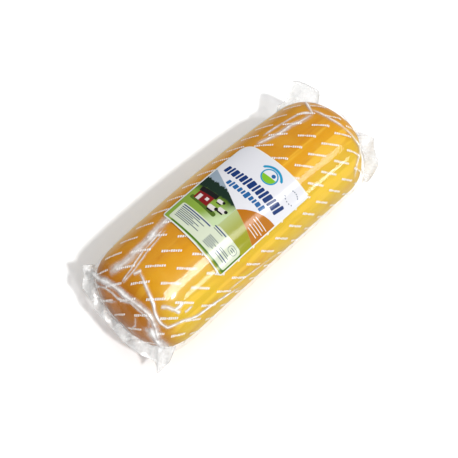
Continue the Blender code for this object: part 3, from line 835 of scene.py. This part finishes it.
whole = add_node(
    tree, "ShaderNodeMixShader", i0=opacity, i1=skin.outputs[0], i2=white.outputs[0])
tree.links.new(whole.outputs[0], output.inputs[0])
for piece in film_pieces:
    piece.data.materials.append(material)
    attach(piece, "root")
    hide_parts("film_pack")


# ---- Label -------------------------------------------------------------------
# A sheet of varnished paper, printed in fields of colour, with round corners and
# one large one, glued to the film along the upper right of the loaf.

LABEL_LEFT = -0.0280
LABEL_RIGHT = 0.0472
LABEL_NEAR = -0.0566
LABEL_FAR = 0.0450
LABEL_ARCH = 0.0036         # how much further the far edge lies out on the right
LABEL_DROP = 0.0024         # and the near edge
LABEL_CORNER = 0.0035
LABEL_FAR_LEFT_CORNER = 0.0105
LABEL_STAND_OFF = 0.00045
LABEL_THICKNESS = 0.0002
LABEL_COLUMNS = 120
LABEL_CORNER_ROWS = 14
LABEL_MIDDLE_ROWS = 110


def corner_inset(distance, radius):
    """How far a rounded corner stands back at a distance from the label's end."""
    into = np.clip(radius - distance, 0.0, radius)
    return radius - np.sqrt(radius ** 2 - into ** 2)


quarter = np.linspace(0.0, np.pi / 2, LABEL_CORNER_ROWS + 1)
near_rows = LABEL_NEAR + LABEL_CORNER * (1 - np.cos(quarter))
far_rows = LABEL_FAR - LABEL_FAR_LEFT_CORNER * (1 - np.cos(quarter))
middle_rows = np.linspace(near_rows[-1], far_rows[-1], LABEL_MIDDLE_ROWS + 2)[1:-1]
label_y = np.concatenate([near_rows, middle_rows, far_rows[::-1]])
left = LABEL_LEFT + corner_inset(label_y - LABEL_NEAR, LABEL_CORNER)
left += corner_inset(LABEL_FAR - label_y, LABEL_FAR_LEFT_CORNER)
right_side = LABEL_RIGHT - corner_inset(label_y - LABEL_NEAR, LABEL_CORNER)
right_side -= corner_inset(LABEL_FAR - label_y, LABEL_CORNER)
share = np.linspace(0.0, 1.0, LABEL_COLUMNS + 1)
label_arc = left[:, None] + (right_side - left)[:, None] * share[None, :]
across_share = (label_arc - LABEL_LEFT) / (LABEL_RIGHT - LABEL_LEFT)
label_lift = LABEL_ARCH * np.clip(label_y / LABEL_FAR, 0.0, 1.0)
label_lift -= LABEL_DROP * np.clip(label_y / LABEL_NEAR, 0.0, 1.0)
label_along = label_y[:, None] + label_lift[:, None] * across_share
to_side = np.minimum(label_arc - left[:, None], right_side[:, None] - label_arc)
to_end = np.minimum(label_y - LABEL_NEAR, LABEL_FAR - label_y)[:, None]
to_border = np.minimum(to_side, to_end) * 1000.0
label_theta = np.interp(crown_run - label_arc, round_run, film_angles)
label_t = 2.0 + (label_along - NEAR_SHOULDER) / (FAR_SHOULDER - NEAR_SHOULDER)
label_places = film_point(label_t, label_theta) + LABEL_STAND_OFF * film_normal(label_t, label_theta)
label_places += LOAF_PLACE
flat_label = np.stack([label_arc - LABEL_LEFT, label_along - LABEL_NEAR], axis=-1) * 1000.0

label = lay_sheet("paper_label", label_places, "flat_label", flat_label, "to_border", to_border)
activate(label)
bpy.ops.object.shade_smooth()
sheet = label.modifiers.new("sheet", "SOLIDIFY")
sheet.thickness = LABEL_THICKNESS
sheet.offset = 1.0
bpy.ops.object.modifier_apply(modifier="sheet")

# Print, in millimetres from the label's near left corner: across, then along.
PRINT_SOFTNESS = 0.1        # half the width in which a printed edge fades
MARGIN_EDGE = (1.25, 1.05)  # the white margin fades in between these, from the border
PAPER_WHITE = (0.590, 0.590, 0.620, 1.0)
BORDER_WHITE = (0.640, 0.645, 0.600, 1.0)
INK_NAVY = (0.008, 0.030, 0.130, 1.0)
INK_BLUE = (0.015, 0.095, 0.260, 1.0)
INK_CYAN = (0.015, 0.230, 0.400, 1.0)
INK_SLATE = (0.040, 0.065, 0.110, 1.0)
INK_GREY = (0.100, 0.120, 0.170, 1.0)
SKY = (0.240, 0.300, 0.360, 1.0)
FOREST = (0.009, 0.024, 0.015, 1.0)
MEADOW = (0.190, 0.300, 0.040, 1.0)
MEADOW_SHADE = (0.060, 0.110, 0.012, 1.0)
MIST = (0.470, 0.570, 0.340, 1.0)
LIME = (0.250, 0.255, 0.006, 1.0)
LEAF_GREEN = (0.060, 0.150, 0.010, 1.0)
ORANGE = (0.375, 0.125, 0.002, 1.0)
MINT = (0.530, 0.575, 0.440, 1.0)
BADGE_GREEN = (0.170, 0.400, 0.020, 1.0)
BARN_RED = (0.180, 0.008, 0.010, 1.0)
SOOT = (0.010, 0.010, 0.010, 1.0)
WOOL = (0.560, 0.530, 0.510, 1.0)

bar_mask = bpy.data.node_groups.new("bar_mask", "ShaderNodeTree")
for name, kind in (
        ("Place", "NodeSocketVector"), ("Centre", "NodeSocketVector"),
        ("Half", "NodeSocketVector"), ("Corner", "NodeSocketFloat"), ("Turn", "NodeSocketFloat")):
    bar_mask.interface.new_socket(name=name, in_out="INPUT", socket_type=kind)
bar_mask.interface.new_socket(name="Mask", in_out="OUTPUT", socket_type="NodeSocketFloat")
given = bar_mask.nodes.new("NodeGroupInput").outputs


def vector_calc(tree, operation, **inputs):
    """A vector maths node."""
    return add_node(tree, "ShaderNodeVectorMath", {"operation": operation}, **inputs)


apart = vector_calc(bar_mask, "SUBTRACT", i0=given["Place"], i1=given["Centre"])
turned = add_node(
    bar_mask, "ShaderNodeVectorRotate", {"rotation_type": "Z_AXIS"}, Vector=apart.outputs[0],
    Angle=calc(bar_mask, "MULTIPLY", given["Turn"], -1.0))
folded = vector_calc(bar_mask, "ABSOLUTE", i0=turned.outputs[0])
beyond = vector_calc(bar_mask, "SUBTRACT", i0=folded.outputs[0], i1=given["Half"])
outside = vector_calc(bar_mask, "MAXIMUM", i0=beyond.outputs[0], i1=(0.0, 0.0, 0.0))
length = vector_calc(bar_mask, "LENGTH", i0=outside.outputs[0])
gap = calc(bar_mask, "SUBTRACT", length.outputs["Value"], given["Corner"])
inside = ramp(bar_mask, gap, PRINT_SOFTNESS, -PRINT_SOFTNESS)
result = bar_mask.nodes.new("NodeGroupOutput")
bar_mask.links.new(inside, result.inputs[0])

material, tree, output = new_material("label_print")
uv = add_node(tree, "ShaderNodeUVMap", {"uv_map": "flat_label"}).outputs[0]
uv_axes = add_node(tree, "ShaderNodeSeparateXYZ", i0=uv)
label_u, label_v = uv_axes.outputs[0], uv_axes.outputs[1]


def bar(u, v, length, height, corner=0.3, turn=0.0):
    """Mask of a bar with round corners about a middle point."""
    node = add_node(
        tree, "ShaderNodeGroup", {"node_tree": bar_mask}, Place=uv, Centre=(u, v, 0.0),
        Half=(length / 2 - corner, height / 2 - corner, 1000.0), Corner=corner, Turn=turn)
    return node.outputs[0]


def disc(u, v, radius):
    """Mask of a disc."""
    return bar(u, v, 2 * radius, 2 * radius, corner=radius)


def under(start, end):
    """Mask of the side on the right hand of a line from start to end."""
    run_u, run_v = end[0] - start[0], end[1] - start[1]
    length = math.hypot(run_u, run_v)
    part = calc(tree, "MULTIPLY", calc(tree, "SUBTRACT", label_v, start[1]), run_u / length)
    distance = calc(
        tree, "MULTIPLY_ADD", calc(tree, "SUBTRACT", label_u, start[0]), -run_v / length, part)
    return ramp(tree, distance, PRINT_SOFTNESS, -PRINT_SOFTNESS)


def below(level, soft=PRINT_SOFTNESS):
    """Mask of what lies nearer than a level along the label."""
    return ramp(tree, calc(tree, "SUBTRACT", label_v, level), soft, -soft)


def both_of(*masks):
    """Where all masks hold."""
    shared = masks[0]
    for mask in masks[1:]:
        shared = calc(tree, "MULTIPLY", shared, mask)
    return shared


def without(mask, hole):
    """A mask less another."""
    return calc(tree, "SUBTRACT", mask, hole, clamp=True)


def uneven_level(scale, detail, height, level):
    """A level along the label that rises and falls across it."""
    wave = add_node(
        tree, "ShaderNodeTexNoise", {"noise_dimensions": "1D"}, W=label_u, Scale=scale,
        Detail=detail)
    return calc(tree, "MULTIPLY_ADD", wave.outputs[0], height, level)


colour = PAPER_WHITE

# Landscape: sky, dark woods, a meadow with a barn and three white animals.
scenery = both_of(under((2.5, 62.9), (42.7, 44.8)), bar(21.9, 32.0, 40.6, 80.0))
woods_level = uneven_level(0.32, 3.0, 7.0, 49.0)
meadow_level = uneven_level(0.15, 2.0, 5.0, calc(tree, "MULTIPLY_ADD", label_u, 0.12, 38.5))
colour = blend(tree, scenery, colour, SKY)
colour = blend(tree, both_of(scenery, below(woods_level, 0.5)), colour, FOREST)
colour = blend(tree, both_of(scenery, below(meadow_level, 0.8)), colour, MEADOW_SHADE)
sunlit = below(calc(tree, "SUBTRACT", meadow_level, 4.0), 3.5)
colour = blend(tree, both_of(scenery, sunlit), colour, MEADOW)
misty = ramp(
    tree, calc(tree, "MULTIPLY_ADD", label_v, -0.55, label_u), 9.0, 25.0, 0.0, 0.9, smooth=True)
colour = blend(tree, both_of(scenery, below(meadow_level, 0.8), misty), colour, MIST)
for outline, ink in (
        # hedge, barn wall, roof, door and window
        ((20.0, 28.4, 30.0, 4.0, 1.9, -0.05), MEADOW_SHADE),
        ((15.6, 34.2, 15.6, 10.0, 0.4), BARN_RED), ((15.6, 40.6, 18.6, 4.6, 0.6, 0.08), SOOT),
        ((12.0, 32.4, 3.6, 6.2, 0.2), WOOL), ((19.0, 34.6, 3.0, 3.0, 0.2), WOOL)):
    colour = blend(tree, bar(*outline), colour, ink)
for u, v, size in ((29.0, 40.4, 1.15), (35.4, 35.4, 1.35), (27.6, 31.6, 1.45)):
    colour = blend(tree, bar(u, v - 1.6 * size, 4.0 * size, 2.0 * size, 0.3, 0.1), colour, SOOT)
    colour = blend(tree, bar(u, v, 5.2 * size, 2.9 * size, 1.3, 0.1), colour, WOOL)
    colour = blend(tree, disc(u + 2.6 * size, v + 0.9 * size, 1.15 * size), colour, SOOT)

# Fields at the right: lime green, and an orange leaf with fine white lines.
FIELD_BREAK = ((42.0, 45.4), (74.5, 35.4))
lime_field = both_of(bar(58.2, 24.0, 31.6, 60.0, 0.2), under(*FIELD_BREAK))
colour = blend(tree, lime_field, colour, LIME)
lime_fade = ramp(tree, label_u, 42.0, 58.0, 0.55, 0.0)
colour = blend(tree, both_of(lime_field, lime_fade), colour, MIST)
leaf = both_of(
    disc(79.0, 17.6, 45.6), bar(58.2, 50.0, 31.6, 40.0, 0.2),
    without(bar(58.2, 50.0, 40.0, 60.0), under(*FIELD_BREAK)))
colour = blend(tree, leaf, colour, ORANGE)
for u, v, length in (
        (65.0, 53.4, 15.0), (64.0, 50.6, 13.0), (66.5, 47.8, 12.0), (64.5, 45.0, 12.0),
        (65.5, 42.2, 11.0)):
    colour = blend(tree, bar(u, v, length, 0.7, 0.3), colour, BORDER_WHITE)

# Small-print panel.
colour = blend(tree, bar(41.6, 2.0, 62.4, 2.6, 0.5), colour, LEAF_GREEN)
colour = blend(tree, bar(73.2, 12.0, 1.4, 22.0, 0.4), colour, LEAF_GREEN)
panel = calc(
    tree, "MAXIMUM", bar(39.2, 11.4, 66.6, 17.8, 1.8), bar(57.0, 13.4, 31.0, 22.0, 4.0))
colour = blend(tree, panel, colour, MINT)
SMALL_PRINT = (
    # ink, height, then each line's start across, place along and length
    (INK_NAVY, 1.1, ((8.0, 18.6, 31.0), (41.0, 22.2, 13.0))),
    (INK_NAVY, 1.0, ((56.5, 8.6, 13.0),)),
    (INK_NAVY, 0.9, ((8.0, 16.6, 21.0),)),
    (INK_NAVY, 0.7, ((9.0, 10.0, 19.0),)),
    (INK_SLATE, 0.7, (
        (8.5, 14.8, 27.0), (8.5, 13.2, 16.0), (8.5, 11.6, 24.0), (9.0, 8.4, 26.0),
        (9.0, 6.8, 17.0), (41.5, 20.2, 10.0), (43.5, 13.6, 10.0), (43.5, 12.0, 8.0),
        (43.5, 10.4, 11.0), (43.5, 8.8, 9.0), (43.5, 7.2, 10.0), (43.5, 5.6, 7.0),
        (56.5, 13.0, 10.0), (56.5, 11.4, 12.0), (56.5, 6.6, 11.0))))
for ink, height, lines in SMALL_PRINT:
    for u, v, length in lines:
        colour = blend(tree, bar(u + length / 2, v, length, height, 0.2), colour, ink)
oval = without(bar(65.6, 19.0, 9.0, 6.4, 3.1), bar(65.6, 19.0, 8.2, 5.6, 2.7))
colour = blend(tree, oval, colour, INK_SLATE)
for v, length in ((19.9, 4.6), (18.1, 3.4)):
    colour = blend(tree, bar(65.6, v, length, 0.7, 0.2), colour, INK_SLATE)

# Title: a row of bars, then a row of smaller ones, as plain as type that can't be read.
TITLE_WIDTHS = (3.6, 2.3, 4.4, 2.3, 3.8, 2.5, 4.8, 2.3, 3.4, 2.7, 4.2, 2.3, 3.8, 3.2)
TITLE_LEAN = -0.14
u = 7.6
for place_in_row, width in enumerate(TITLE_WIDTHS):
    middle = u + width / 2
    level = 68.8 + 0.078 * (middle - 9.0)
    tall = (0.0, 1.6, 0.0, 0.6)[place_in_row % 4] + 6.9 + 0.050 * middle
    colour = blend(tree, bar(middle, level, width, tall, 1.0, TITLE_LEAN), colour, INK_NAVY)
    u += width + 1.1
u = 18.6
for place_in_row in range(10):
    width = (3.0, 2.0, 3.8)[place_in_row % 3]
    middle = u + width / 2
    level = 59.2 + 0.085 * (middle - 20.0)
    tall = (4.8, 6.6, 4.8, 5.0)[place_in_row % 4]
    colour = blend(tree, bar(middle, level, width, tall, 0.8, TITLE_LEAN), colour, INK_BLUE)
    u += width + 1.0

# Badge: a ringed disc under a ribbon, and two short rows of dots.
colour = blend(tree, disc(40.0, 87.6, 7.8), colour, INK_CYAN)
colour = blend(tree, disc(40.0, 87.6, 6.5), colour, PAPER_WHITE)
badge_ground = both_of(disc(40.0, 87.6, 6.5), under((32.0, 86.6), (48.0, 88.6)))
colour = blend(tree, badge_ground, colour, BADGE_GREEN)
colour = blend(tree, disc(42.2, 90.4, 1.9), colour, INK_BLUE)
ribbon = without(disc(40.0, 84.5, 13.6), disc(40.0, 84.5, 11.2))
ribbon = both_of(ribbon, without(bar(40.0, 95.0, 22.0, 10.0, 0.5), below(91.0)))
colour = blend(tree, ribbon, colour, INK_CYAN)
for u, v in ((61.8, 95.0), (63.7, 95.7), (65.8, 95.8), (67.8, 95.3), (69.5, 94.4),
             (60.4, 86.4), (62.4, 85.0), (65.0, 84.4), (67.8, 84.7), (70.2, 86.0)):
    colour = blend(tree, bar(u, v, 1.3, 1.0, 0.3), colour, INK_GREY)

# White margin.
border = add_node(tree, "ShaderNodeAttribute", {"attribute_name": "to_border"}).outputs["Fac"]
colour = blend(tree, ramp(tree, border, *MARGIN_EDGE), colour, BORDER_WHITE)

place = add_node(tree, "ShaderNodeTexCoord").outputs["Object"]
cockle = add_node(
    tree, "ShaderNodeBump", Strength=0.12, Distance=0.0004, Height=noise(tree, place, 60.0, 2.0))
shader = add_node(
    tree, "ShaderNodeBsdfPrincipled", Base_Color=colour, Roughness=0.13,
    Normal=cockle.outputs[0])
tree.links.new(shader.outputs[0], output.inputs[0])
label.data.materials.append(material)
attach(label, "root")
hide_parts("label")
